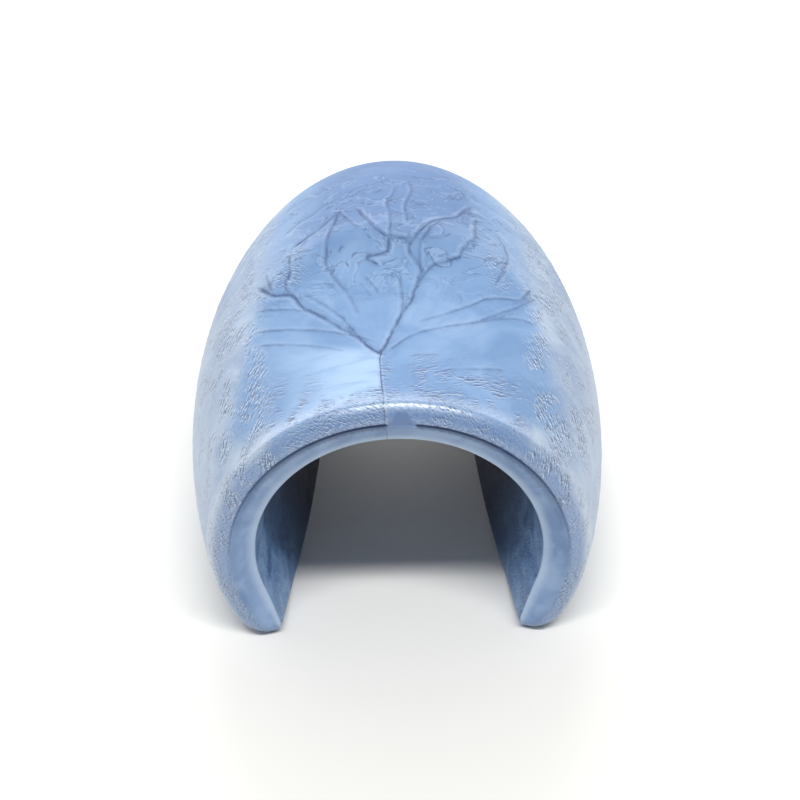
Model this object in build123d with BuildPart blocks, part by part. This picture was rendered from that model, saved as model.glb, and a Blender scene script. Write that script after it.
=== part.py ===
from build123d import *
import os
from math import cos, radians, sin, tan

# Guitar slide: a half-egg hood with an open underside, worn on a finger.
# +Z up, +Y from the front rim towards the far end, floor at Z = 0,
# origin at the centre of the floor outline's bounding box. Millimetres.

# ---- driving dimensions ----
body_length = 40.0          # front rim to far end
body_radius = 15.4          # round section at its widest
egg_half_length = 29.3      # half the length of the whole egg that the hood is cut from
widest_behind_rim = 15.9    # the widest section's distance behind the front rim
axis_height = 7.4           # finger hole's axis above the floor

mouth_radius = 10.0         # finger hole at the front rim
bevel_radius = 11.6         # outer edge of the bevelled band round the mouth
bevel_depth = 0.75          # how far the band leans in
leg_angle = 17.0            # the inner walls leave the arch this far below level
front_round = 1.75          # outer rounding of the front rim
far_round = 1.1             # outer rounding of the far rim

# ---- finger hole stations: distance behind the rim, arch radius ----
hole_stations = [(-4.0, 10.7), (0.75, mouth_radius), (9.0, 9.05), (20.0, 8.1), (44.0, 6.8)]

# ---- scoop stations: distance behind the rim, floor height over the axis, radius across ----
scoop_stations = [
    (1.0, 13.12, 13.4),
    (4.0, 13.0, 15.5),
    (7.5, 13.05, 20.0),
    (11.0, 13.2, 26.0),
    (14.0, 13.5, 29.0),
    (16.0, 14.0, 29.0),
    (18.0, 14.8, 29.0),
    (20.0, 15.8, 29.0),
]
scoop_half_width = 13.3     # wider than the body where the scoop's edges come out
cutter_top = 30.0           # cutters end well above the body
below_floor = 3.0           # and well below the floor
overshoot = 1.0             # the bevel's cutter starts this far in front of the rim

# ---- derived places ----
rim_y = -body_length / 2
far_y = body_length / 2
egg_centre_y = rim_y + widest_behind_rim


def cross_plane(behind_rim):
    """Upright plane across the body, X to the right and Z up, at a distance behind the front rim."""
    return Plane.XZ.offset(-(rim_y + behind_rim))


with BuildPart() as slide_body:
    # the whole egg, turned about the finger hole's axis
    with BuildSketch(Plane.XY.offset(axis_height)):
        with Locations((0, egg_centre_y)):
            Ellipse(body_radius, egg_half_length)
        split(bisect_by=Plane.YZ, keep=Keep.TOP)
    revolve(axis=Axis((0, 0, axis_height), (0, 1, 0)))

    # cut flat at the floor, at the front rim and at the far end
    split(bisect_by=Plane.XY, keep=Keep.TOP)
    split(bisect_by=Plane.XZ.offset(-rim_y), keep=Keep.BOTTOM)
    split(bisect_by=Plane.XZ.offset(-far_y), keep=Keep.TOP)

    # rounded outer edges of both rims
    front_edge = slide_body.edges().filter_by_position(Axis.Y, rim_y, rim_y).sort_by(Edge.length)[-1]
    fillet(front_edge, front_round)
    far_edge = slide_body.edges().filter_by_position(Axis.Y, far_y, far_y).sort_by(Edge.length)[-1]
    fillet(far_edge, far_round)

    # tapering finger hole: an arch on two straight legs, open underneath and at both ends
    for behind_rim, arch_radius in hole_stations:
        side_x = arch_radius * cos(radians(leg_angle))
        side_z = axis_height - arch_radius * sin(radians(leg_angle))
        foot_x = side_x - (side_z + below_floor) * tan(radians(leg_angle))
        with BuildSketch(cross_plane(behind_rim)):
            with BuildLine():
                CenterArc((0, axis_height), arch_radius, -leg_angle, 180 + 2 * leg_angle)
                Polyline((-side_x, side_z), (-foot_x, -below_floor), (foot_x, -below_floor), (side_x, side_z))
            make_face()
    loft(mode=Mode.SUBTRACT)

    # shallow bevelled band round the mouth
    spread = overshoot * (bevel_radius - mouth_radius) / bevel_depth
    with BuildSketch(Plane.XY.offset(axis_height)):
        with BuildLine():
            Polyline(
                (0, rim_y - overshoot),
                (bevel_radius + spread, rim_y - overshoot),
                (mouth_radius - spread, rim_y + bevel_depth + overshoot),
                (0, rim_y + bevel_depth + overshoot),
                close=True,
            )
        make_face()
    revolve(axis=Axis((0, 0, axis_height), (0, 1, 0)), mode=Mode.SUBTRACT)

    # scoop in the top: nearly round at the rim, flatter across towards its steep rear wall
    for behind_rim, floor_height, across_radius in scoop_stations:
        with BuildSketch(cross_plane(behind_rim)):
            centre_z = axis_height + floor_height - across_radius
            edge_z = centre_z + (across_radius**2 - scoop_half_width**2) ** 0.5
            with BuildLine():
                ThreePointArc(
                    (-scoop_half_width, edge_z),
                    (0, centre_z + across_radius),
                    (scoop_half_width, edge_z),
                )
                Polyline(
                    (scoop_half_width, edge_z),
                    (scoop_half_width, cutter_top),
                    (-scoop_half_width, cutter_top),
                    (-scoop_half_width, edge_z),
                )
            make_face()
    loft(mode=Mode.SUBTRACT)

slide_body.part.label = "slide_body"
os.makedirs("parts", exist_ok=True)
export_step(slide_body.part, "parts/slide_body.step")
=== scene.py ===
import math

import bpy
import numpy as np
from mathutils import Matrix, Vector


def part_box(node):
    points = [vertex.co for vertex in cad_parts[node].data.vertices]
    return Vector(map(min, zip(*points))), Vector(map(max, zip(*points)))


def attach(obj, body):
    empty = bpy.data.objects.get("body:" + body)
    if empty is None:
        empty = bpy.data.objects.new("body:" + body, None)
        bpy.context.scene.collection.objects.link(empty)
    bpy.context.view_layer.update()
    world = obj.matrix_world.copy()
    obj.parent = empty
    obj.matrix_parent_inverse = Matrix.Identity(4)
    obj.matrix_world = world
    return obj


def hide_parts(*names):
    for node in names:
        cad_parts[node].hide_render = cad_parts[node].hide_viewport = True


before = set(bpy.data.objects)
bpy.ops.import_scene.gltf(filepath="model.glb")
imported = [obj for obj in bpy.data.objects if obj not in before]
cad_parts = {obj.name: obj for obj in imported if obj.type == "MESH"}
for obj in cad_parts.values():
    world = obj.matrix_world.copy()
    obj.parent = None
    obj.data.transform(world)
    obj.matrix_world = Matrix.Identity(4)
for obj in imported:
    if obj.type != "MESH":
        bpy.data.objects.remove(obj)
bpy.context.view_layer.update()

mm = 0.001                                    # shapes below are worked out in millimetres
low, high = (np.array(corner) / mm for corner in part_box("slide_body"))
print("frame loaded:", np.round(high - low, 2), "mm")

slide = {                                     # "behind" always counts back from the front rim
    "radius": (high[0] - low[0]) / 2,
    "length": high[1] - low[1],
    "rimY": low[1],
    "widestBehind": 15.9,
    "eggHalfLength": 29.3,
    "axisHeight": 7.4,                        # finger hole's axis over the floor
    "mouthRadius": 10.0,
    "bevelRadius": 11.6,
    "bevelDepth": 0.75,
    "legAngle": math.radians(17),
    "frontRound": 1.75,
    "farRound": 1.1,
    "lipRound": 0.45,                         # inner edge of the far hole
    "farFoot": 0.55,                          # thinnest wall where the far rim comes down to the floor
    "mouthRound": 0.16,
    "footRound": 0.3,
    "tipRound": 1.25,                         # the two front tips are rounder
    "creaseStep": 0.1,                        # the bevelled band starts this far behind the rounded rim
    "creaseDepth": 0.22,                      # groove between the two
    "creaseWide": 0.3,
    "scoopBlend": 0.5,                        # softness of the scoop's edges
    "hole": [(-4.0, 10.7), (0.75, 10.0), (9.0, 9.05), (20.0, 8.1), (44.0, 6.8)],
    "scoop": [                                # behind, floor over the axis, radius across
        (-1.0, 13.6, 13.6),
        (1.0, 13.12, 13.4),
        (4.0, 13.0, 15.5),
        (7.5, 13.05, 20.0),
        (11.0, 13.2, 26.0),
        (14.0, 13.5, 29.0),
        (16.0, 14.0, 29.0),
        (18.0, 14.8, 29.0),
        (20.0, 15.8, 29.0),
    ],
    "gate": {"across": 0.3, "base": 2.0, "top": 0.75, "tall": 1.05},   # trimmed mark over the mouth
    "rows": {"round": 12, "fine": 150, "coarse": 42, "far": 7, "face": 4, "lip": 4, "hole": 62, "edge": 4, "bevel": 7},
    "fineUntil": 24.5,                        # the patterned top has the closest rows
    "columns": 296,
}


def smoothThrough(stations, column, x):
    # smooth curve through the stations
    xs = np.array([station[0] for station in stations])
    ys = np.array([station[column] for station in stations])
    slopes = np.gradient(ys, xs)
    i = np.clip(np.searchsorted(xs, x) - 1, 0, len(xs) - 2)
    span = xs[i + 1] - xs[i]
    t = np.clip((x - xs[i]) / span, 0, 1)
    near = (2 * t**3 - 3 * t**2 + 1) * ys[i] + (t**3 - 2 * t**2 + t) * span * slopes[i]
    far = (3 * t**2 - 2 * t**3) * ys[i + 1] + (t**3 - t**2) * span * slopes[i + 1]
    return near + far


def softMin(a, b, width):
    share = np.clip(0.5 + 0.5 * (b - a) / width, 0, 1)
    return b * (1 - share) + a * share - width * share * (1 - share)


def ease(x, start, end):
    t = np.clip((x - start) / (end - start), 0, 1)
    return t * t * (3 - 2 * t)


def eggRadius(behind):
    t = (behind - slide["widestBehind"]) / slide["eggHalfLength"]
    return slide["radius"] * np.sqrt(np.clip(1 - t * t, 0, 1))


def scoopRadius(angle, behind):
    # the scoop's floor is part of a larger circle at each station
    across = smoothThrough(slide["scoop"], 2, behind)
    centre = smoothThrough(slide["scoop"], 1, behind) - across
    reach = centre * np.sin(angle) + np.sqrt(np.clip(across**2 - (centre * np.cos(angle))**2, 0, None))
    return reach + np.clip(behind - slide["scoop"][-1][0], 0, None) * 1.2


def holeRadius(angle, behind):
    # an arch standing on two straight legs
    arch = smoothThrough(slide["hole"], 1, behind)
    below = np.clip(np.abs(angle - math.pi / 2) - math.pi / 2 - slide["legAngle"], 0, 1.2)
    return arch / np.cos(below)


def roundingAt(radius, far):
    # a rounding that touches both the end plane and the egg: centre's radius, sweep, touching place
    best = None
    for step in np.linspace(0, 6, 6001):
        behind = slide["length"] - step if far else step
        slope = (eggRadius(behind + 1e-4) - eggRadius(behind - 1e-4)) / 2e-4
        back, out = -slope / math.hypot(1, slope), 1 / math.hypot(1, slope)
        wanted = slide["length"] - radius if far else radius
        miss = abs(behind - radius * back - wanted)
        if best is None or miss < best[0]:
            best = (miss, eggRadius(behind) - radius * out, math.acos(back if far else -back), behind)
    return best[1:]


frontCentre, frontSweep, frontTouch = roundingAt(slide["frontRound"], False)
farCentre, farSweep, farTouch = roundingAt(slide["farRound"], True)


def outlineRows():
    # the wall's closed outline: crease, outside, round the far end, back through the hole, bevel
    count = slide["rows"]
    rows = [("crease", 0.0)]
    start = math.asin((slide["bevelRadius"] + slide["creaseWide"] - frontCentre) / slide["frontRound"])
    rows += [("round", start + (frontSweep - start) * k / count["round"]) for k in range(count["round"] + 1)]
    fine = np.linspace(frontTouch, slide["fineUntil"], count["fine"] + 1)[1:]
    coarse = np.linspace(slide["fineUntil"], farTouch, count["coarse"] + 2)[1:-1]
    rows += [("body", behind) for behind in np.concatenate([fine, coarse])]
    rows += [("far", farSweep * (1 - k / count["far"])) for k in range(count["far"] + 1)]
    rows += [("face", k / count["face"]) for k in range(1, count["face"])]
    rows += [("lip", math.pi / 2 * k / count["lip"]) for k in range(count["lip"] + 1)]
    rows += [("hole", (k / count["hole"]) ** 0.8) for k in range(1, count["hole"] + 1)]
    rows += [("edge", k / count["edge"]) for k in range(1, count["edge"])]
    rows += [("bevel", k / count["bevel"]) for k in range(count["bevel"] + 1)]
    return rows


def rowShape(kind, at, angle):
    # a row's distance behind the rim, its radius, and which way its wall turns in at the floor
    length, lip, flat = slide["length"], slide["lipRound"], np.ones_like(angle)
    fading = ease(np.abs(angle - math.pi / 2), 1.9, 0.9)
    if kind == "crease":
        return slide["creaseStep"] + (slide["creaseDepth"] - slide["creaseStep"]) * fading, flat * (slide["bevelRadius"] + slide["creaseWide"] / 2), (0, 1)
    if kind == "round":
        behind = flat * slide["frontRound"] * (1 - math.cos(at))
        radius = softMin(frontCentre + slide["frontRound"] * math.sin(at), scoopRadius(angle, behind), 0.1)
        return behind, radius, (-math.sin(at), math.cos(at))
    if kind == "body":
        blend = slide["scoopBlend"] * min(1.0, 0.2 + at / 9)
        return flat * at, softMin(eggRadius(flat * at), scoopRadius(angle, flat * at), blend), (-1, 0)
    if kind == "far":
        behind = flat * (length - slide["farRound"] * (1 - math.cos(at)))
        radius = np.maximum(farCentre + slide["farRound"] * math.sin(at), holeRadius(angle, behind) + slide["farFoot"])
        return behind, radius, (-math.sin(at), -math.cos(at))
    if kind == "face":
        inner = holeRadius(angle, flat * length)
        outer = np.maximum(farCentre, inner + slide["farFoot"])
        return flat * length, outer + (inner + lip - outer) * at, (0, -1)
    if kind == "lip":
        behind = flat * (length - lip * (1 - math.cos(at)))
        return behind, holeRadius(angle, behind) + lip * (1 - math.sin(at)), (math.sin(at), -math.cos(at))
    # the mouth: a band that leans in, its inner edge slightly rounded
    lean = (slide["bevelDepth"] - slide["creaseStep"]) / (slide["bevelRadius"] - slide["mouthRadius"])
    step = slide["creaseStep"]
    soft = slide["mouthRound"]
    mouth = np.maximum(slide["mouthRadius"], holeRadius(angle, flat * 0.4))
    mouth = np.minimum(mouth, slide["bevelRadius"] - 2 * soft)
    mouthBehind = step + (slide["bevelRadius"] - mouth) * lean
    if kind == "hole":
        behind = (length - lip) * (1 - at) + (mouthBehind + soft) * at
        radius = np.minimum(holeRadius(angle, behind), mouth + 9 * (behind - mouthBehind - soft))
        return behind, np.maximum(radius, holeRadius(angle, behind) * ease(behind, 40, 0)), (1, 0)
    if kind == "edge":
        holeSide = holeRadius(angle, mouthBehind + soft)
        behind = (1 - at) ** 2 * (mouthBehind + soft) + 2 * at * (1 - at) * mouthBehind + at**2 * (mouthBehind - soft * lean)
        radius = (1 - at) ** 2 * holeSide + 2 * at * (1 - at) * mouth + at**2 * (mouth + soft)
        return behind, radius, (1, 1)
    radius = mouth + soft + (slide["bevelRadius"] - mouth - soft) * at
    return step + (slide["bevelRadius"] - radius) * lean, radius, (0, 1)


def footAngle(kind, at):
    # where a row comes down to the floor on the right
    under, over = -1.4, -0.1
    for halving in range(40):
        middle = (under + over) / 2
        radius = float(rowShape(kind, at, np.array([middle]))[1][0])
        under, over = (middle, over) if radius * math.sin(middle) < -slide["axisHeight"] else (under, middle)
    return over


def columnPlaces():
    # 0 at the right foot, 1 at the left: closest at the feet's rounded edges and over the top
    footSteps = np.array([0.0, 0.0013, 0.0028, 0.0046, 0.0066, 0.0088])
    even = np.linspace(-1, 1, slide["columns"] - 2 * len(footSteps))
    middle = 0.5 + 0.4885 * (0.62 * even + 0.38 * even * np.abs(even) ** 1.4)
    return np.concatenate([footSteps, middle, 1 - footSteps[::-1]])


def gateMark(angle, radius):
    # 1 inside the trimmed gate mark, a small trapezium standing on the bevelled band
    gate = slide["gate"]
    sideways = np.abs(radius * (math.pi / 2 - angle) - gate["across"])
    up = radius - slide["bevelRadius"]
    half = (gate["base"] + (gate["top"] - gate["base"]) * np.clip(up / gate["tall"], 0, 1)) / 2
    return ease(sideways, half + 0.1, half - 0.1) * ease(up, gate["tall"] + 0.12, gate["tall"] - 0.12)


def layOutSlide():
    rows, columns = outlineRows(), columnPlaces()
    place = np.zeros((len(rows), len(columns), 3))
    flow = np.zeros_like(place)
    wallX = np.zeros(len(columns))
    for j, (kind, at) in enumerate(rows):
        foot = footAngle(kind, at)
        angle = foot + (math.pi - 2 * foot) * columns
        behind, radius, (inward, backward) = rowShape(kind, at, angle)
        if kind in ("crease", "round", "bevel"):
            mark = gateMark(angle, radius)
            ramp = 0.02 + 0.26 * np.clip((radius - slide["bevelRadius"]) / slide["gate"]["tall"], 0, 1) ** 2
            filled = np.minimum(behind, ramp) if kind != "bevel" else behind - slide["creaseStep"] * at**3
            behind = behind + (filled - behind) * mark
        x, z = radius * np.cos(angle), slide["axisHeight"] + radius * np.sin(angle)
        round = slide["footRound"] + (slide["tipRound"] - slide["footRound"]) * ease(behind, 16, 0.5)
        rise = np.clip(1 - z / round, 0, 1)
        roll = round * (1 - np.sqrt(1 - rise**2))
        if kind == "hole":
            wallX = np.abs(x)
        moved, back = np.abs(x) + roll * inward, behind + roll * backward
        # the rounded feet keep their corners at the mouth free of folds
        if kind == "hole":
            back = np.maximum(back, slide["bevelDepth"] + slide["mouthRound"] + roll)
        if kind in ("edge", "bevel"):
            moved = np.where(roll > 0, np.maximum(moved, wallX + roll), moved)
        place[j] = np.stack([np.sign(x) * moved, slide["rimY"] + back, np.maximum(z, 0)], axis=1)
        flow[j] = np.stack([slide["radius"] * (math.pi / 2 - angle), behind, radius], axis=1)
    return np.array([kind for kind, at in rows]), place, flow


def skinDistance(kinds, behind, radius):
    # distance along the skin from front to back, the same as "behind" on the body;
    # it runs on down the far end one way, and over the rim into the hole the other way
    step = np.hypot(np.diff(behind, append=behind[0]), np.diff(radius, append=radius[0]))
    run = np.concatenate([[0], np.cumsum(step)])
    body, into = np.flatnonzero(kinds == "body"), np.flatnonzero(kinds == "hole")[0]
    first, last = body[0], body[-1]
    along = behind.copy()
    along[:first] = behind[first] - (run[first] - run[:first])
    along[last + 1:into] = behind[last] + run[last + 1:into] - run[last]
    along[into:] = along[0] - (run[-1] - run[into:-1])
    return along


rowKinds, place, flow = layOutSlide()
middleColumn = place.shape[1] // 2
alongSkin = skinDistance(rowKinds, flow[:, middleColumn, 1], flow[:, middleColumn, 2])
print("outline laid out:", place.shape[0], "rows of", place.shape[1])

# ---- flow lines in the plastic: (across from the top, behind the rim) along each, then strength at both ends
flowLines = {
    "knit": [([(-1.15, 6.45), (-1.3, 5.9), (-1.2, 3.5), (-1.0, 1.2), (-1.0, -0.5)], 0.8, 1.0)],
    "main": [
        ([(-1.2, 6.45), (-2.0, 7.1), (-2.8, 8.3), (-3.5, 9.5), (-4.1, 10.6), (-4.9, 11.7), (-6.0, 13.0), (-7.0, 14.0)], 1.1, 0.2),
        ([(-2.8, 8.3), (-4.6, 10.0), (-6.4, 11.9), (-7.5, 13.1), (-8.1, 14.3), (-9.5, 14.9), (-10.6, 16.4)], 0.6, 1.0),
        ([(-3.0, 11.3), (-3.7, 13.4), (-4.5, 14.8), (-5.2, 16.4), (-5.1, 17.2), (-4.85, 19.1), (-4.4, 21.1), (-4.2, 22.6)], 0.2, 0.9),
        ([(-4.2, 22.6), (-5.7, 20.7), (-6.7, 20.0), (-7.4, 19.6)], 0.5, 1.0),
        ([(-1.2, 6.45), (-0.75, 7.4), (-0.25, 8.75), (0.6, 10.9), (1.3, 12.2), (1.85, 14.1), (2.2, 15.5)], 1.0, 0.6),
        ([(2.2, 15.5), (1.8, 16.3), (1.3, 17.0), (1.15, 18.1)], 0.6, 0.6),
        ([(0.6, 10.9), (0.7, 12.1), (0.6, 13.5), (0.5, 14.7)], 0.6, 0.4),
        ([(1.85, 14.1), (2.7, 15.5), (3.3, 16.1), (4.6, 16.7), (5.1, 16.8), (5.3, 17.7), (6.2, 19.2), (6.3, 20.2), (6.5, 22.2)], 0.5, 0.6),
        ([(3.3, 16.1), (4.6, 16.7), (5.1, 16.9)], 0.9, 1.1),
        ([(-2.7, 22.4), (-1.9, 20.3), (-1.3, 19.2), (-0.7, 18.5), (0.5, 18.2), (1.3, 18.0)], 0.8, 0.7),
        ([(1.3, 17.7), (1.8, 18.5), (3.0, 20.3), (3.7, 20.9), (4.8, 21.7), (5.5, 22.9), (6.3, 24.4)], 0.8, 0.8),
        ([(-0.25, 18.2), (-0.5, 17.1), (-1.1, 16.9), (-1.9, 16.8), (-2.1, 16.6), (-1.4, 16.1)], 0.8, 0.9),
    ],
    "fan": [
        ([(2.3, 10.2), (4.0, 11.0), (6.1, 12.3), (7.4, 13.3), (8.7, 13.7), (9.9, 14.0), (10.6, 15.4)], 0.5, 0.9),
        ([(-0.2, 7.0), (1.5, 8.5), (4.0, 9.6), (6.5, 10.6), (9.1, 12.6), (10.1, 13.6), (11.0, 14.7)], 0.8, 0.7),
        ([(6.5, 10.5), (9.1, 11.7), (10.7, 11.9)], 0.5, 0.7),
        ([(-10.4, 13.6), (-7.5, 12.5), (-5.2, 11.0)], 0.8, 0.4),
        ([(-10.5, 11.4), (-7.6, 10.4), (-4.0, 9.0), (-2.0, 8.0)], 0.8, 0.5),
        ([(-10.6, 10.0), (-7.6, 8.8), (-4.4, 7.3)], 0.7, 0.3),
        ([(-4.9, 25.1), (-5.8, 24.7), (-6.4, 23.8), (-7.5, 23.5), (-8.5, 22.7)], 0.5, 0.8),
        ([(-4.2, 22.6), (-3.9, 21.9), (-3.2, 20.5), (-2.7, 19.5)], 0.9, 0.4),
        ([(-0.2, 18.5), (-0.2, 21.2), (-0.4, 23.5), (0.0, 24.5), (0.3, 26.2)], 0.9, 0.6),
        ([(1.1, 20.0), (1.0, 22.6), (1.6, 25.7), (1.4, 27.5)], 0.8, 0.5),
        ([(2.25, 18.2), (2.7, 19.0), (3.2, 19.9), (3.6, 20.7)], 0.9, 0.9),
        ([(2.0, 17.8), (2.0, 16.8), (2.05, 16.1), (2.2, 15.5)], 0.7, 0.7),
        ([(8.7, 20.0), (8.9, 18.3), (8.6, 17.2), (8.4, 16.5), (8.1, 15.3)], 1.0, 0.7),
        ([(-8.0, 18.2), (-8.0, 16.8), (-8.2, 16.0)], 1.0, 1.0),
        ([(-10.1, 17.6), (-9.6, 15.6)], 0.8, 0.8),
        ([(-8.4, 16.0), (-8.5, 15.1), (-8.0, 14.3)], 0.7, 0.8),
        ([(-2.2, 14.8), (-1.7, 14.1), (-1.3, 13.3)], 0.5, 0.4),
        ([(1.5, 6.2), (3.4, 6.4)], 0.5, 0.5),
        ([(4.0, 4.8), (8.5, 6.2)], 0.4, 0.6),
    ],
}


def roundedLine(points, spacing=0.25):
    # a smooth line through given points, in short steps
    points = [np.array(p, float) for p in points]
    points = [2 * points[0] - points[1]] + points + [2 * points[-1] - points[-2]]
    line = []
    for a, b, c, d in zip(points, points[1:], points[2:], points[3:]):
        for t in np.linspace(0, 1, max(2, int(np.linalg.norm(c - b) / spacing)), endpoint=False):
            line.append(0.5 * (2 * b + (c - a) * t + (2 * a - 5 * b + 4 * c - d) * t**2 + (3 * b - a - 3 * c + d) * t**3))
    return np.array(line + [points[-2]])


def lineField(lines, spots, reach=0.7):
    # signed distance to the nearest line, and how strongly it shows there
    signed = np.full(len(spots), 9.0)
    strength = np.zeros(len(spots))
    for points, start, end in lines:
        line = roundedLine(points)
        near = (spots > line.min(0) - 2).all(1) & (spots < line.max(0) + 2).all(1)
        picked = np.flatnonzero(near)
        for k, (a, b) in enumerate(zip(line, line[1:])):
            along = np.clip(((spots[picked] - a) @ (b - a)) / ((b - a) @ (b - a)), 0, 1)
            gap = spots[picked] - a - along[:, None] * (b - a)
            distance = np.hypot(gap[:, 0], gap[:, 1])
            side = np.sign((b - a)[0] * gap[:, 1] - (b - a)[1] * gap[:, 0])
            closer = distance < np.abs(signed[picked])
            signed[picked[closer]] = (distance * np.where(side == 0, 1, side))[closer]
            share = (k + along) / (len(line) - 1)
            strength[picked[closer]] = (start + (end - start) * share)[closer]
    return signed, strength * np.clip(1 - (np.abs(signed) - 0.25) / (reach - 0.25), 0, 1)


across, behind, radius = (flow[..., part].ravel() for part in range(3))
outer = np.repeat(np.isin(rowKinds, ["round", "body", "far", "crease"]), place.shape[1])
banded = np.repeat(np.isin(rowKinds, ["bevel", "edge"]), place.shape[1])
spots = np.stack([across, behind], axis=1)
flow[..., 1] = alongSkin[:, None]
flow[..., 2] = 0
fields = {"flow": flow.reshape(-1, 3)}
for name in ("main", "fan"):
    signed, strength = lineField(flowLines[name], spots)
    fields[name + "Line"] = signed
    fields[name + "Strength"] = strength * outer
knitPoints = sorted(flowLines["knit"][0][0], key=lambda point: point[1])
knitAt = np.interp(behind, [p[1] for p in knitPoints], [p[0] for p in knitPoints])
fields["knitLine"] = across - knitAt
fields["knitStrength"] = ease(behind, 6.9, 6.3) * (outer | banded)
fields["scoop"] = np.clip(eggRadius(behind) - radius, 0, 3) * outer * ease(behind, 1.2, 4.5) * ease(behind, 21, 19.5)
# where the pale patch with its painted highlight lies, on the left of the knit line
lit = ease(behind, 0.9, 1.9) * ease(across, -11.5, -3.5) * ease(behind - 0.22 * np.abs(across + 1.15), 7.4, 6.1)
fields["paleFlowAndHighlight"] = lit * outer
fields["gate"] = gateMark(place[..., 0].ravel() * 0 + math.pi / 2 - across / slide["radius"], radius) * (outer | banded) * ease(behind, 1.3, 0.9)
print("flow lines placed")

wrinkle = {                                   # fine relief of the moulded skin
    "Waviness": 0.05,
    "Wrinkle Depth": 0.06,
    "Wrinkle Size": 0.9,
    "Line Depth": 0.012,
    "Seed": 4.0,
}


def buildTree(name, kind, inputs, outputs):
    # a node group with named sockets; inputs are (name, socket kind, value)
    tree = bpy.data.node_groups.new(name, kind)
    for label, socketKind, value in inputs:
        socket = tree.interface.new_socket(label, in_out="INPUT", socket_type="NodeSocket" + socketKind)
        if value is not None:
            socket.default_value = value
    for label, socketKind in outputs:
        tree.interface.new_socket(label, in_out="OUTPUT", socket_type="NodeSocket" + socketKind)
    return tree, tree.nodes.new("NodeGroupInput"), tree.nodes.new("NodeGroupOutput")


def put(tree, kind, inputs=None, **settings):
    # a node with its settings, and each input set to a value or joined to another node's output
    node = tree.nodes.new(kind)
    for key, value in settings.items():
        setattr(node, key, value)
    for key, value in (inputs or {}).items():
        socket = node.inputs[key]
        if isinstance(value, bpy.types.NodeSocket):
            tree.links.new(value, socket)
        else:
            socket.default_value = value
    return node


def maths(tree, operation, a, b=0.0, c=0.0):
    count = 1 if operation in ("ABSOLUTE", "SQRT", "EXPONENT", "SIGN") else 3 if operation == "MULTIPLY_ADD" else 2
    return put(tree, "ShaderNodeMath", dict(zip(range(count), (a, b, c))), operation=operation).outputs[0]


def fade(tree, value, start, end, low=0.0, high=1.0):
    # eased step from low to high as the value goes from start to end
    node = put(tree, "ShaderNodeMapRange", {0: value}, interpolation_type="SMOOTHSTEP")
    flip = not isinstance(start, bpy.types.NodeSocket) and not isinstance(end, bpy.types.NodeSocket) and start > end
    if flip:
        start, end, low, high = end, start, high, low
    for index, part in zip((1, 2, 3, 4), (start, end, low, high)):
        if isinstance(part, bpy.types.NodeSocket):
            tree.links.new(part, node.inputs[index])
        else:
            node.inputs[index].default_value = part
    return node.outputs[0]


def times(tree, *values):
    product = values[0]
    for value in values[1:]:
        product = maths(tree, "MULTIPLY", product, value)
    return product


def stretched(tree, flowSocket, across, behindScale, depth, shift=0.0):
    # flow coordinates scaled for a pattern that runs along the flow
    scaled = put(tree, "ShaderNodeVectorMath", {0: flowSocket, 1: (across, behindScale, depth)}, operation="MULTIPLY")
    moved = put(tree, "ShaderNodeVectorMath", {0: scaled.outputs[0], 1: (shift, shift * 0.7, shift * 0.3)}, operation="ADD")
    return moved.outputs[0]


def noiseAt(tree, vector, scale, detail=2.0, roughness=0.5, distortion=0.0):
    inputs = {"Vector": vector, "Scale": scale, "Detail": detail, "Roughness": roughness, "Distortion": distortion}
    return put(tree, "ShaderNodeTexNoise", inputs).outputs[0]


def tinted(tree, amount, base, over, blend="MIX"):
    node = put(tree, "ShaderNodeMix", {0: amount, 6: base, 7: over}, data_type="RGBA", blend_type=blend)
    return node.outputs[2]


def tone(red, green, blue):
    # screen colour to linear light
    parts = [part / 255 for part in (red, green, blue)]
    return tuple(p / 12.92 if p <= 0.04045 else ((p + 0.055) / 1.055) ** 2.4 for p in parts) + (1.0,)


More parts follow.
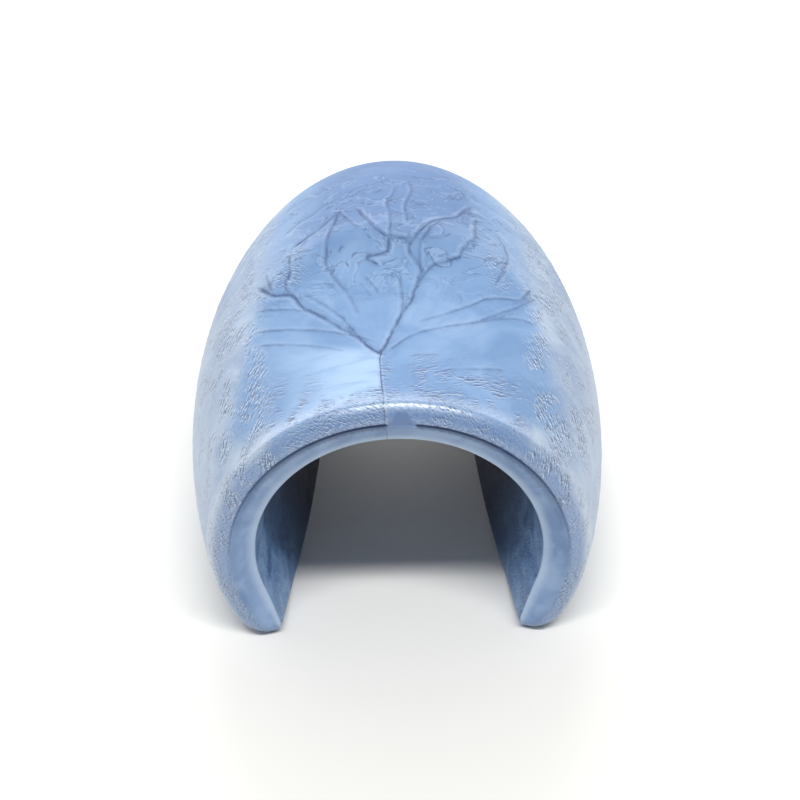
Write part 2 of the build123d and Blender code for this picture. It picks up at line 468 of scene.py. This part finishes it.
# ---- relief of the skin, as geometry nodes
def buildRelief():
    inputs = [("Geometry", "Geometry", None)] + [(name, "Float", value) for name, value in wrinkle.items()]
    tree, start, end = buildTree("skinRelief", "GeometryNodeTree", inputs, [("Geometry", "Geometry")])

    def field(name, kind="FLOAT"):
        return put(tree, "GeometryNodeInputNamedAttribute", {"Name": name}, data_type=kind).outputs["Attribute"]

    flowAt = field("flow", "FLOAT_VECTOR")
    moved = put(tree, "ShaderNodeVectorMath", {0: flowAt, 1: start.outputs["Seed"]}, operation="ADD").outputs[0]
    broad = put(tree, "ShaderNodeTexNoise", {"Vector": moved, "Scale": 0.16, "Detail": 1.0}).outputs[0]
    wavy = times(tree, broad, start.outputs["Waviness"])
    size = maths(tree, "DIVIDE", 1.0, start.outputs["Wrinkle Size"])
    fineInputs = {"Vector": moved, "Scale": size, "Detail": 2.5, "Roughness": 0.6, "Distortion": 0.4}
    fine = put(tree, "ShaderNodeTexNoise", fineInputs).outputs[0]
    ridged = maths(tree, "ABSOLUTE", maths(tree, "MULTIPLY_ADD", fine, 4.0, -2.0))
    wrinkled = times(tree, fade(tree, ridged, 1.0, 0.0), start.outputs["Wrinkle Depth"], field("wrinkled"))
    lined = 0.0
    for name in ("main", "knit"):
        gap = maths(tree, "DIVIDE", field(name + "Line"), 0.16)
        bell = maths(tree, "EXPONENT", times(tree, gap, gap, -1.0))
        lined = maths(tree, "ADD", lined, times(tree, bell, field(name + "Strength")))
    sunk = maths(tree, "ADD", maths(tree, "ADD", wavy, wrinkled), times(tree, lined, start.outputs["Line Depth"]))
    sunk = times(tree, sunk, field("free"), -mm)
    normal = put(tree, "GeometryNodeInputNormal").outputs[0]
    offset = put(tree, "ShaderNodeVectorMath", {0: normal, "Scale": sunk}, operation="SCALE").outputs[0]
    skin = put(tree, "GeometryNodeSetPosition", {"Geometry": start.outputs["Geometry"], "Offset": offset}).outputs[0]
    skin = put(tree, "GeometryNodeRealizeInstances", {"Geometry": skin}).outputs[0]
    region = field("region", "INT")
    for number, material in enumerate((outsideMaterial, bandMaterial, insideMaterial)):
        chosen = put(tree, "FunctionNodeCompare", {2: region, 3: number}, data_type="INT", operation="EQUAL").outputs[0]
        skin = put(tree, "GeometryNodeSetMaterial", {"Geometry": skin, "Selection": chosen, "Material": material}).outputs[0]
    tree.links.new(skin, end.inputs[0])
    return tree


# ---- finishes shared by the three surfaces
def makePearlTone():
    inputs = [("Flow", "Vector", None), ("Deep", "Color", None), ("Mid", "Color", None), ("Pale", "Color", None),
              ("Patch Size", "Float", 6.0), ("Contrast", "Float", 1.0)]
    tree, start, end = buildTree("pearlTone", "ShaderNodeTree", inputs, [("Color", "Color"), ("Cloud", "Float")])
    size = maths(tree, "DIVIDE", 1.0, start.outputs["Patch Size"])
    vector = stretched(tree, start.outputs["Flow"], 0.8, 1.0, 0.4, 3.1)
    cloud = put(tree, "ShaderNodeTexNoise", {"Vector": vector, "Scale": size, "Detail": 4.0, "Roughness": 0.55, "Distortion": 0.6})
    half = maths(tree, "MULTIPLY", start.outputs["Contrast"], 0.18)
    lowEnd, highEnd = maths(tree, "SUBTRACT", 0.5, half), maths(tree, "ADD", 0.5, half)
    share = fade(tree, cloud.outputs[0], 0.3, 0.7)
    deepPart = tinted(tree, fade(tree, share, 0.0, 0.55), start.outputs["Deep"], start.outputs["Mid"])
    colour = tinted(tree, fade(tree, share, 0.5, 1.0), deepPart, start.outputs["Pale"])
    tree.links.new(colour, end.inputs["Color"])
    tree.links.new(share, end.inputs["Cloud"])
    return tree


def makeFlowStreaks():
    inputs = [("Flow", "Vector", None), ("Length", "Float", 0.8), ("Width", "Float", 0.16), ("Slope", "Float", 0.3),
              ("Cover", "Float", 0.4), ("Seed", "Float", 0.0)]
    tree, start, end = buildTree("flowStreaks", "ShaderNodeTree", inputs, [("Dark", "Float"), ("Light", "Float")])
    parts = put(tree, "ShaderNodeSeparateXYZ", {0: start.outputs["Flow"]})
    along = maths(tree, "DIVIDE", parts.outputs[0], start.outputs["Length"])
    leaning = maths(tree, "ADD", parts.outputs[1], maths(tree, "MULTIPLY", parts.outputs[0], start.outputs["Slope"]))
    thick = maths(tree, "DIVIDE", leaning, start.outputs["Width"])
    third = maths(tree, "ADD", parts.outputs[2], start.outputs["Seed"])
    # the Light output is a painted highlight: the same grain moved to one side of each dark dash
    for name, shift in (("Dark", 0.0), ("Light", 0.55)):
        vector = put(tree, "ShaderNodeCombineXYZ", {0: along, 1: maths(tree, "ADD", thick, shift), 2: third}).outputs[0]
        grain = noiseAt(tree, vector, 1.0, 3.0, 0.7)
        edge = maths(tree, "MULTIPLY_ADD", start.outputs["Cover"], -0.3, 0.72)
        past = maths(tree, "SUBTRACT", grain, edge)
        tree.links.new(fade(tree, past, -0.03, 0.07), end.inputs[name])
    return tree


def makeLineShade():
    inputs = [("Distance", "Float", 1.0), ("Strength", "Float", 0.0), ("Width", "Float", 0.1)]
    outputs = [("Dark", "Float"), ("Light", "Float"), ("Halo", "Float")]
    tree, start, end = buildTree("lineShade", "ShaderNodeTree", inputs, outputs)
    share = maths(tree, "DIVIDE", start.outputs["Distance"], start.outputs["Width"])
    gap = maths(tree, "ABSOLUTE", share)
    strength = start.outputs["Strength"]
    tree.links.new(times(tree, fade(tree, gap, 1.0, 0.2), strength), end.inputs["Dark"])
    # Light is a painted highlight along one side of the line; Dark and Halo are the line's own colour
    ridgeHighlight = maths(tree, "ABSOLUTE", maths(tree, "SUBTRACT", share, 2.0))
    tree.links.new(times(tree, fade(tree, ridgeHighlight, 1.2, 0.1), strength), end.inputs["Light"])
    tree.links.new(times(tree, fade(tree, gap, 4.0, 0.0), strength), end.inputs["Halo"])
    return tree


def makeFanFlow():
    # soft rays that spread from the knit line's end
    inputs = [("Flow", "Vector", None), ("Rays", "Float", 9.0)]
    tree, start, end = buildTree("fanFlow", "ShaderNodeTree", inputs, [("Ray", "Float")])
    centre = flowLines["knit"][0][0][0]
    gap = put(tree, "ShaderNodeVectorMath", {0: start.outputs["Flow"], 1: (centre[0], centre[1], 0)}, operation="SUBTRACT")
    parts = put(tree, "ShaderNodeSeparateXYZ", {0: gap.outputs[0]})
    turn = maths(tree, "ARCTAN2", parts.outputs[1], maths(tree, "ABSOLUTE", parts.outputs[0]))
    away = put(tree, "ShaderNodeVectorMath", {0: gap.outputs[0]}, operation="LENGTH").outputs["Value"]
    bend = maths(tree, "MULTIPLY_ADD", away, -0.03, turn)
    side = maths(tree, "MULTIPLY", maths(tree, "SIGN", parts.outputs[0]), 5.0)
    vector = put(tree, "ShaderNodeCombineXYZ", {0: times(tree, bend, start.outputs["Rays"]), 1: times(tree, away, 0.22), 2: side})
    ray = noiseAt(tree, vector.outputs[0], 1.0, 3.0, 0.6)
    tree.links.new(fade(tree, ray, 0.35, 0.65), end.inputs["Ray"])
    return tree


pearlTone, flowStreaks, lineShade, fanFlow = makePearlTone(), makeFlowStreaks(), makeLineShade(), makeFanFlow()


def startMaterial(name):
    material = bpy.data.materials.new(name)
    material.use_nodes = True
    tree = material.node_tree
    tree.nodes.clear()
    shader = put(tree, "ShaderNodeBsdfPrincipled")
    end = put(tree, "ShaderNodeOutputMaterial", {"Surface": shader.outputs[0]})
    return material, tree, shader


def readField(tree, name):
    node = put(tree, "ShaderNodeAttribute", attribute_name=name)
    return node.outputs["Vector" if name == "flow" else "Fac"]


def useGroup(tree, group, **inputs):
    node = tree.nodes.new("ShaderNodeGroup")
    node.node_tree = group
    for key, value in inputs.items():
        socket = node.inputs[key.replace("_", " ")]
        if isinstance(value, bpy.types.NodeSocket):
            tree.links.new(value, socket)
        else:
            socket.default_value = value
    return node.outputs


# some of these tones are painted light: the two near-white speck tones and the patch tone are painted highlights, the
# rim, crease and shade tones painted shade, and the side and grey tones partly painted sheen
outsideFinish = {
    "deep": tone(113, 148, 191), "mid": tone(124, 158, 200), "pale": tone(138, 169, 208),
    "greyDeep": tone(138, 160, 194), "greyMid": tone(156, 176, 203), "greyPale": tone(176, 193, 214),
    "highlightFleck": tone(226, 238, 250),
    "line": tone(58, 84, 128), "dash": tone(66, 88, 128), "ridgeHighlight": tone(204, 222, 244), "patch": tone(166, 195, 228),
    "rim": tone(100, 132, 180), "gate": tone(102, 126, 168), "crease": tone(50, 70, 112), "shade": tone(84, 117, 166),
    "side": tone(196, 212, 232), "smudge": tone(96, 126, 174),
    "roughness": 0.46, "rimRoughness": 0.3, "ior": 1.55, "coatRoughness": 0.36, "coatIor": 2.5,
}


def makeOutside():
    finish = outsideFinish
    material, tree, shader = startMaterial("pearlOutside")
    flowAt = readField(tree, "flow")
    parts = put(tree, "ShaderNodeSeparateXYZ", {0: flowAt})
    u, v = parts.outputs[0], parts.outputs[1]
    side = maths(tree, "ABSOLUTE", u)
    scoop = fade(tree, readField(tree, "scoop"), 0.02, 0.3)
    gate = readField(tree, "gate")
    bare = maths(tree, "SUBTRACT", 1.0, gate)
    blue = useGroup(tree, pearlTone, Flow=flowAt, Deep=finish["deep"], Mid=finish["mid"], Pale=finish["pale"], Patch_Size=4.0)
    grey = useGroup(tree, pearlTone, Flow=flowAt, Deep=finish["greyDeep"], Mid=finish["greyMid"], Pale=finish["greyPale"], Patch_Size=2.2)
    # the flanks and the lower sides are greyer and paler: partly the pearl's own tone there, partly painted sheen from
    # the white surroundings at a glancing angle
    flank = times(tree, fade(tree, side, 8.0, 12.5), maths(tree, "SUBTRACT", 1.0, scoop))
    flank = maths(tree, "MAXIMUM", flank, times(tree, fade(tree, v, 17.0, 22.0), 0.2))
    colour = tinted(tree, flank, blue["Color"], grey["Color"])
    colour = tinted(tree, times(tree, fade(tree, side, 14.5, 20.0), 0.5), colour, finish["side"])
    # painted shade over the middle of the dome
    shaded = times(tree, fade(tree, v, 15.0, 22.0, 0.0, 0.72), fade(tree, side, 10.0, 4.5, 0.05, 1.0))
    colour = tinted(tree, shaded, colour, finish["shade"])
    rays = useGroup(tree, fanFlow, Flow=flowAt, Rays=7.0)["Ray"]
    fanned = times(tree, fade(tree, v, 5.5, 7.5), fade(tree, v, 19.0, 14.0), fade(tree, side, 12.5, 9.5))
    colour = tinted(tree, times(tree, rays, fanned, 0.4), colour, finish["deep"])

    # pale patch on the left of the knit line: partly the pearl's flakes lying another way there, partly a painted
    # highlight
    knit = readField(tree, "knitLine")
    pale = times(tree, readField(tree, "paleFlowAndHighlight"), fade(tree, knit, 0.06, -0.06))
    soft = noiseAt(tree, stretched(tree, flowAt, 0.25, 1.3, 0.4), 1.0, 3.0)
    colour = tinted(tree, times(tree, pale, fade(tree, soft, 0.3, 0.55, 0.55, 1.0)), colour, finish["patch"])

    # short dashes: in front of the scoop, down both flanks, and over the rounded rim
    broken = fade(tree, noiseAt(tree, stretched(tree, flowAt, 0.5, 0.55, 0.3, 7.7), 1.0, 4.0, 0.6), 0.42, 0.6)
    clear = maths(tree, "SUBTRACT", 1.0, times(tree, pale, fade(tree, v, 2.2, 3.2)))
    front = times(tree, fade(tree, v, 0.8, 1.8), fade(tree, v, 7.5, 4.0), fade(tree, side, 12.5, 10.0), clear)
    slope = fade(tree, u, -1.5, 1.5, 0.25, -0.3)
    dashes = useGroup(tree, flowStreaks, Flow=flowAt, Length=0.9, Width=0.2, Slope=slope, Cover=0.62)
    flankSlope = fade(tree, u, -1.0, 1.0, -0.9, 0.9)
    mottle = useGroup(tree, flowStreaks, Flow=flowAt, Length=0.34, Width=0.27, Slope=flankSlope, Cover=0.72, Seed=5.0)
    threads = useGroup(tree, flowStreaks, Flow=flowAt, Length=2.2, Width=0.16, Slope=flankSlope, Cover=0.5, Seed=8.0)
    speckle = useGroup(tree, flowStreaks, Flow=flowAt, Length=0.3, Width=0.18, Slope=0.5, Cover=0.62, Seed=11.0)
    flankOn = times(tree, fade(tree, side, 9.8, 11.8), fade(tree, v, 36.0, 24.0), fade(tree, broken, 0.0, 1.0, 0.1, 0.85))
    flankOn = times(tree, flankOn, fade(tree, side, 16.0, 21.0, 1.0, 0.5))
    rimOn = times(tree, fade(tree, v, 2.6, 0.8), bare, fade(tree, broken, 0.0, 1.0, 0.35, 1.0))
    cornerOn = times(tree, fade(tree, side, 6.0, 8.0), fade(tree, side, 12.0, 10.0), fade(tree, v, 13.5, 15.5), fade(tree, v, 20.5, 18.0), broken)
    speckleOn = maths(tree, "MAXIMUM", times(tree, rimOn, 0.8), cornerOn)
    darkDash = maths(tree, "MAXIMUM", times(tree, dashes["Dark"], front, broken), times(tree, mottle["Dark"], flankOn))
    darkDash = maths(tree, "MAXIMUM", darkDash, times(tree, threads["Dark"], flankOn, 0.7))
    darkDash = maths(tree, "MAXIMUM", darkDash, times(tree, speckle["Dark"], speckleOn))
    # painted highlights: light specks beside the dark dashes, flecks on the flanks, and sparkles on the rim and the
    # scoop's rear corners
    highlightFlecks = times(tree, mottle["Light"], flankOn)
    highlightDash = maths(tree, "MAXIMUM", times(tree, dashes["Light"], front, broken), highlightFlecks)
    highlightDash = maths(tree, "MAXIMUM", highlightDash, times(tree, speckle["Light"], speckleOn))
    # painted shade: the front-facing rounded rim is darkened towards the crease
    colour = tinted(tree, fade(tree, v, 0.9, -0.1, 0.0, 0.75), colour, finish["rim"])
    colour = tinted(tree, times(tree, front, broken, 0.4), colour, finish["smudge"])
    colour = tinted(tree, times(tree, highlightDash, 0.7), colour, finish["ridgeHighlight"])
    colour = tinted(tree, times(tree, highlightFlecks, 0.5), colour, finish["highlightFleck"])
    colour = tinted(tree, times(tree, darkDash, 0.9), colour, finish["dash"])
    colour = tinted(tree, gate, colour, finish["gate"])
    # painted shade: the crease groove between the rounded rim and the bevelled band is darkened, most at the top and
    # fading down the sides
    rough = maths(tree, "MULTIPLY_ADD", noiseAt(tree, flowAt, 2.4, 3.0, 0.6), 0.8, -0.4)
    creaseShade = fade(tree, maths(tree, "ADD", v, rough), -0.45, -1.0)
    creaseShade = times(tree, creaseShade, fade(tree, side, 26.0, 8.0, 0.15, 0.8), bare)
    colour = tinted(tree, creaseShade, colour, finish["crease"])

    # fine veins over the dome and the upper part of the scoop
    veinNoise = noiseAt(tree, stretched(tree, flowAt, 0.3, 0.42, 0.3, 5.1), 1.0, 4.0, 0.55, 1.2)
    veinOn = times(tree, fade(tree, v, 11.0, 16.0), fade(tree, v, 36.0, 28.0), fade(tree, side, 13.0, 9.0))
    veinGap = maths(tree, "ABSOLUTE", maths(tree, "SUBTRACT", veinNoise, 0.5))
    veins = times(tree, fade(tree, veinGap, 0.024, 0.003), veinOn, fade(tree, broken, 0.0, 1.0, 0.35, 1.0))
    # painted highlight along one edge of each vein
    veinHighlight = maths(tree, "ABSOLUTE", maths(tree, "SUBTRACT", veinNoise, 0.535))
    colour = tinted(tree, times(tree, fade(tree, veinHighlight, 0.03, 0.0), veinOn, 0.16), colour, finish["ridgeHighlight"])
    colour = tinted(tree, times(tree, veins, 0.6), colour, finish["dash"])

    # flow lines
    wobble = maths(tree, "MULTIPLY_ADD", noiseAt(tree, flowAt, 1.6, 3.0, 0.6), 0.3, -0.15)
    height = maths(tree, "MULTIPLY_ADD", darkDash, -0.4, times(tree, highlightDash, 0.5))
    height = maths(tree, "MULTIPLY_ADD", veins, -0.25, height)
    uneven = fade(tree, noiseAt(tree, flowAt, 0.9, 3.0), 0.3, 0.6, 0.4, 1.0)
    for name, width, depth in (("fan", 0.15, 0.65), ("main", 0.18, 0.95), ("knit", 0.08, 0.8)):
        distance = maths(tree, "ADD", readField(tree, name + "Line"), wobble if name != "knit" else 0.0)
        strength = times(tree, readField(tree, name + "Strength"), uneven)
        line = useGroup(tree, lineShade, Distance=distance, Strength=strength, Width=width)
        colour = tinted(tree, times(tree, line["Halo"], 0.3 * depth), colour, finish["dash"])
        # painted highlight along one side of each flow line
        colour = tinted(tree, times(tree, line["Light"], 0.3 * depth), colour, finish["ridgeHighlight"])
        colour = tinted(tree, times(tree, line["Dark"], depth), colour, finish["line"])
        height = maths(tree, "ADD", height, times(tree, line["Dark"], -0.4 * depth))

    fineGrain = noiseAt(tree, stretched(tree, flowAt, 1.0, 1.6, 1.0), 3.0, 3.0, 0.65)
    height = maths(tree, "ADD", height, times(tree, fineGrain, fade(tree, v, 2.5, 1.0, 0.2, 1.2)))
    bump = put(tree, "ShaderNodeBump", {"Strength": 0.7, "Distance": 0.035 * mm, "Height": height})
    shiny = times(tree, fade(tree, v, 2.4, 1.3), bare)
    glint = times(tree, shiny, fade(tree, fineGrain, 0.4, 0.58, 0.2, 1.0), maths(tree, "SUBTRACT", 1.0, darkDash))
    glint = times(tree, glint, fade(tree, side, 14.0, 5.0, 0.25, 1.0))
    rough = fade(tree, shiny, 0.0, 1.0, finish["roughness"], finish["rimRoughness"])
    rough = maths(tree, "ADD", rough, fade(tree, grey["Cloud"], 0.0, 1.0, -0.05, 0.07))
    rough = maths(tree, "ADD", rough, fade(tree, v, 17.0, 25.0, 0.0, 0.2))
    tree.links.new(colour, shader.inputs["Base Color"])
    tree.links.new(rough, shader.inputs["Roughness"])
    tree.links.new(bump.outputs[0], shader.inputs["Normal"])
    tree.links.new(glint, shader.inputs["Coat Weight"])
    shader.inputs["IOR"].default_value = finish["ior"]
    shader.inputs["Coat Roughness"].default_value = finish["coatRoughness"]
    shader.inputs["Coat IOR"].default_value = finish["coatIor"]
    return material


# the crease tone is painted shade in the groove, and the edge tone painted light along the mouth edge
bandFinish = {
    "deep": tone(108, 138, 180), "mid": tone(126, 154, 194), "pale": tone(143, 169, 205),
    "crease": tone(56, 76, 116), "edge": tone(186, 206, 230), "line": tone(82, 106, 146), "roughness": 0.36, "ior": 1.55,
}


def makeBand():
    finish = bandFinish
    material, tree, shader = startMaterial("pearlBand")
    flowAt = readField(tree, "flow")
    pearl = useGroup(tree, pearlTone, Flow=flowAt, Deep=finish["deep"], Mid=finish["mid"], Pale=finish["pale"], Patch_Size=3.0)
    line = useGroup(tree, lineShade, Distance=readField(tree, "knitLine"), Strength=readField(tree, "knitStrength"), Width=0.07)
    v = put(tree, "ShaderNodeSeparateXYZ", {0: flowAt}).outputs[1]
    # painted light: the band is paler towards the mouth edge, where light bounced from the floor catches it
    colour = tinted(tree, fade(tree, v, -1.9, -2.7, 0.0, 0.7), pearl["Color"], finish["edge"])
    side = maths(tree, "ABSOLUTE", put(tree, "ShaderNodeSeparateXYZ", {0: flowAt}).outputs[0])
    # painted shade: the band is darkened next to the crease groove, most at the top, and not over the gate mark
    fuzz = maths(tree, "MULTIPLY_ADD", noiseAt(tree, flowAt, 2.4, 3.0, 0.6), 0.6, -0.3)
    creaseShade = times(tree, fade(tree, maths(tree, "ADD", v, fuzz), -1.5, -1.05), fade(tree, side, 24.0, 8.0, 0.1, 0.75))
    creaseShade = times(tree, creaseShade, maths(tree, "SUBTRACT", 1.0, readField(tree, "gate")))
    colour = tinted(tree, creaseShade, colour, finish["crease"])
    colour = tinted(tree, times(tree, line["Dark"], 0.7), colour, finish["line"])
    grain = noiseAt(tree, stretched(tree, flowAt, 0.6, 1.0, 2.0), 2.2, 3.0, 0.6)
    bump = put(tree, "ShaderNodeBump", {"Strength": 0.5, "Distance": 0.02 * mm, "Height": grain})
    rough = maths(tree, "ADD", fade(tree, pearl["Cloud"], 0.0, 1.0, -0.05, 0.06), finish["roughness"])
    tree.links.new(colour, shader.inputs["Base Color"])
    tree.links.new(rough, shader.inputs["Roughness"])
    tree.links.new(bump.outputs[0], shader.inputs["Normal"])
    shader.inputs["IOR"].default_value = finish["ior"]
    return material


# the fleck tone paints highlights on the specks, and the depth tone is painted shade deeper in the hole
insideFinish = {
    "deep": tone(80, 114, 162), "mid": tone(108, 144, 190), "pale": tone(134, 168, 208),
    "dash": tone(64, 90, 128), "highlightFleck": tone(176, 198, 222), "depth": tone(22, 32, 56), "roughness": 0.4, "ior": 1.55,
}


def makeInside():
    finish = insideFinish
    material, tree, shader = startMaterial("pearlInside")
    flowAt = readField(tree, "flow")
    pearl = useGroup(tree, pearlTone, Flow=flowAt, Deep=finish["deep"], Mid=finish["mid"], Pale=finish["pale"], Patch_Size=1.8)
    mottle = useGroup(tree, flowStreaks, Flow=flowAt, Length=0.5, Width=0.3, Slope=0.8, Cover=0.45, Seed=3.0)
    # painted highlights on the light specks
    colour = tinted(tree, times(tree, mottle["Light"], 0.5), pearl["Color"], finish["highlightFleck"])
    colour = tinted(tree, times(tree, mottle["Dark"], 0.6), colour, finish["dash"])
    v = put(tree, "ShaderNodeSeparateXYZ", {0: flowAt}).outputs[1]
    # painted shade: darker deeper into the hole
    colour = tinted(tree, fade(tree, v, -3.0, -18.0, 0.0, 0.95), colour, finish["depth"])
    height = maths(tree, "SUBTRACT", mottle["Light"], mottle["Dark"])
    bump = put(tree, "ShaderNodeBump", {"Strength": 0.5, "Distance": 0.04 * mm, "Height": height})
    rough = maths(tree, "ADD", fade(tree, pearl["Cloud"], 0.0, 1.0, -0.05, 0.08), finish["roughness"])
    tree.links.new(colour, shader.inputs["Base Color"])
    tree.links.new(rough, shader.inputs["Roughness"])
    tree.links.new(bump.outputs[0], shader.inputs["Normal"])
    shader.inputs["IOR"].default_value = finish["ior"]
    return material


outsideMaterial, bandMaterial, insideMaterial = makeOutside(), makeBand(), makeInside()
print("finishes made")


def buildSlide():
    # close the wall's outline across all columns, cap the two feet, then add the relief
    m, n = place.shape[:2]
    mesh = bpy.data.meshes.new("slideSkin")
    corner = np.arange(m * n).reshape(m, n)
    after = np.roll(corner, -1, axis=0)
    quads = np.stack([corner[:, :-1], after[:, :-1], after[:, 1:], corner[:, 1:]], axis=-1).reshape(-1, 4)
    faces = [list(map(int, quad)) for quad in quads] + [corner[::-1, 0].tolist(), corner[:, -1].tolist()]
    mesh.from_pydata((place.reshape(-1, 3) * mm).tolist(), [], faces)
    regions = np.select([np.isin(rowKinds, ["edge", "bevel"]), rowKinds == "hole"], [1, 2], 0)
    regions = np.concatenate([np.repeat(regions, n - 1), [0, 0]])
    mesh.attributes.new("region", "INT", "FACE").data.foreach_set("value", regions.astype(np.int32))
    for name, values in fields.items():
        kind = "FLOAT_VECTOR" if name == "flow" else "FLOAT"
        data = mesh.attributes.new(name, kind, "POINT").data
        data.foreach_set("vector" if name == "flow" else "value", np.ascontiguousarray(values, np.float32).ravel())
    mesh.polygons.foreach_set("use_smooth", [True] * len(quads) + [False, False])
    mesh.validate()
    raw = bpy.data.objects.new("rawSkin", mesh)
    bpy.context.scene.collection.objects.link(raw)
    relief = raw.modifiers.new("relief", "NODES")
    relief.node_group = buildRelief()
    ids = {item.name: item.identifier for item in relief.node_group.interface.items_tree if item.in_out == "INPUT"}
    for name, value in wrinkle.items():
        relief[ids[name]] = value
    shown = raw.evaluated_get(bpy.context.evaluated_depsgraph_get())
    skin = bpy.data.meshes.new_from_object(shown, preserve_all_data_layers=True, depsgraph=bpy.context.evaluated_depsgraph_get())
    bpy.data.objects.remove(raw)
    skin.set_sharp_from_angle(angle=math.radians(50))
    skin.name = "slideSkin"
    return bpy.data.objects.new("slideSkin", skin)


z = place[..., 2].ravel()
skinOnly = np.repeat(np.isin(rowKinds, ["round", "body", "hole"]), place.shape[1])
fields["free"] = skinOnly * ease(z, 0.5, 1.5) * ease(behind, 0.3, 1.2) * ease(behind, slide["length"] - 0.5, slide["length"] - 2)
corners = ease(np.abs(across), 6.5, 8.5) * ease(np.abs(across), 14, 11.5) * ease(behind, 13, 15) * ease(behind, 20, 17.5)
flanks = ease(np.abs(across), 11, 14)
fields["wrinkled"] = np.maximum(corners, 0.5 * flanks) * outer + 0.3 * (~outer)
slideSkin = buildSlide()
bpy.context.scene.collection.objects.link(slideSkin)
print("slide skin:", len(slideSkin.data.vertices), "points,", len(slideSkin.data.polygons), "faces")
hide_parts("slide_body")
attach(slideSkin, "root")

# ---------------------------------------------------------------- floor, light and camera
studio = {
    "floorSize": 3.0, "floorTone": tone(240, 239, 235),
    "worldFront": 0.2, "worldBack": 0.54, "lowBack": 1.5, "worldLeft": 1.2, "worldRight": 0.76,
    "keyDistance": 0.6, "keyWide": 0.6, "keyDeep": 0.055, "keyPower": 3.2,
    "keyLean": 22.0, "keyTurn": 12.0,         # degrees towards the front, then round to the right
    "backDistance": 0.6, "backSize": 0.3, "backPower": 1.3,  "backLean": 55.0,   # soft light behind
}


def buildFloor():
    half = studio["floorSize"] / 2
    mesh = bpy.data.meshes.new("floor")
    mesh.from_pydata([(-half, -half, 0), (half, -half, 0), (half, half, 0), (-half, half, 0)], [], [(0, 1, 2, 3)])
    floor = bpy.data.objects.new("floor", mesh)
    material, tree, shader = startMaterial("paleTable")
    shader.inputs["Base Color"].default_value = studio["floorTone"]
    shader.inputs["Roughness"].default_value = 0.7
    mesh.materials.append(material)
    bpy.context.scene.collection.objects.link(floor)


def buildLight():
    world = bpy.data.worlds.new("studio")
    bpy.context.scene.world = world
    world.use_nodes = True
    tree = world.node_tree
    tree.nodes.clear()
    # brighter behind the slide than in front of it, most of all low down; plain white where the camera sees it
    direction = put(tree, "ShaderNodeTexCoord").outputs["Generated"]
    parts = put(tree, "ShaderNodeSeparateXYZ", {0: direction})
    strength = fade(tree, parts.outputs[1], -0.8, 0.8, studio["worldFront"], studio["worldBack"])
    low = times(tree, fade(tree, parts.outputs[1], 0.2, 0.8), fade(tree, parts.outputs[2], 0.6, 0.15), studio["lowBack"])
    strength = maths(tree, "ADD", strength, low)
    strength = times(tree, strength, fade(tree, parts.outputs[0], -0.9, 0.9, studio["worldLeft"], studio["worldRight"]))
    seen = put(tree, "ShaderNodeLightPath").outputs["Is Camera Ray"]
    strength = maths(tree, "MAXIMUM", strength, seen)
    background = put(tree, "ShaderNodeBackground", {"Color": (1, 1, 1, 1), "Strength": strength})
    put(tree, "ShaderNodeOutputWorld", {"Surface": background.outputs[0]})
    addLamp("key", studio["keyWide"], studio["keyDeep"], studio["keyPower"], studio["keyDistance"],
            studio["keyLean"], studio["keyTurn"])
    back = addLamp("back", studio["backSize"], studio["backSize"], studio["backPower"], studio["backDistance"],
                   studio["backLean"], 180.0)
    back.visible_glossy = False               # it fills the far opening without a second highlight


def addLamp(name, wide, deep, power, distance, leanDegrees, turnDegrees):
    # a rectangular lamp that faces the slide; it leans from overhead, then turns round from the front
    light = bpy.data.lights.new(name, "AREA")
    light.shape, light.energy, light.size, light.size_y = "RECTANGLE", power, wide, deep
    lamp = bpy.data.objects.new(name, light)
    lean, turn = math.radians(leanDegrees), math.radians(turnDegrees)
    toward = Vector((math.sin(lean) * math.sin(turn), -math.sin(lean) * math.cos(turn), math.cos(lean)))
    lamp.location = toward * distance
    up = toward.cross(Vector((1, 0, 0))).normalized()
    lamp.rotation_euler = Matrix((up.cross(toward), up, toward)).transposed().to_euler()
    bpy.context.scene.collection.objects.link(lamp)
    return lamp


camera = {
    "lens": 79.3, "distance": 0.12, "elevation": 37.0, "turn": 0.25, "roll": -0.95,
    "aim": (0.24, 5.06, 17.43),               # across, behind the rim, over the floor
}


def buildCamera():
    data = bpy.data.cameras.new("camera")
    data.lens, data.sensor_width = camera["lens"], 36.0
    data.clip_start = 0.005
    up, turn, roll = (math.radians(camera[name]) for name in ("elevation", "turn", "roll"))
    ahead = Vector((math.sin(turn) * math.cos(up), math.cos(turn) * math.cos(up), -math.sin(up)))
    right = Vector((math.cos(turn), -math.sin(turn), 0))
    above = right.cross(ahead)
    tiltedRight = right * math.cos(roll) + above * math.sin(roll)
    tiltedUp = above * math.cos(roll) - right * math.sin(roll)
    aim = Vector((camera["aim"][0], slide["rimY"] + camera["aim"][1], camera["aim"][2])) * mm
    view = Matrix((tiltedRight, tiltedUp, -ahead)).transposed().to_4x4()
    view.translation = aim - ahead * camera["distance"]
    viewer = bpy.data.objects.new("camera", data)
    viewer.matrix_world = view
    bpy.context.scene.collection.objects.link(viewer)
    bpy.context.scene.camera = viewer


buildFloor()
buildLight()
buildCamera()
bpy.context.scene.view_settings.view_transform = "Standard"
print("studio ready")
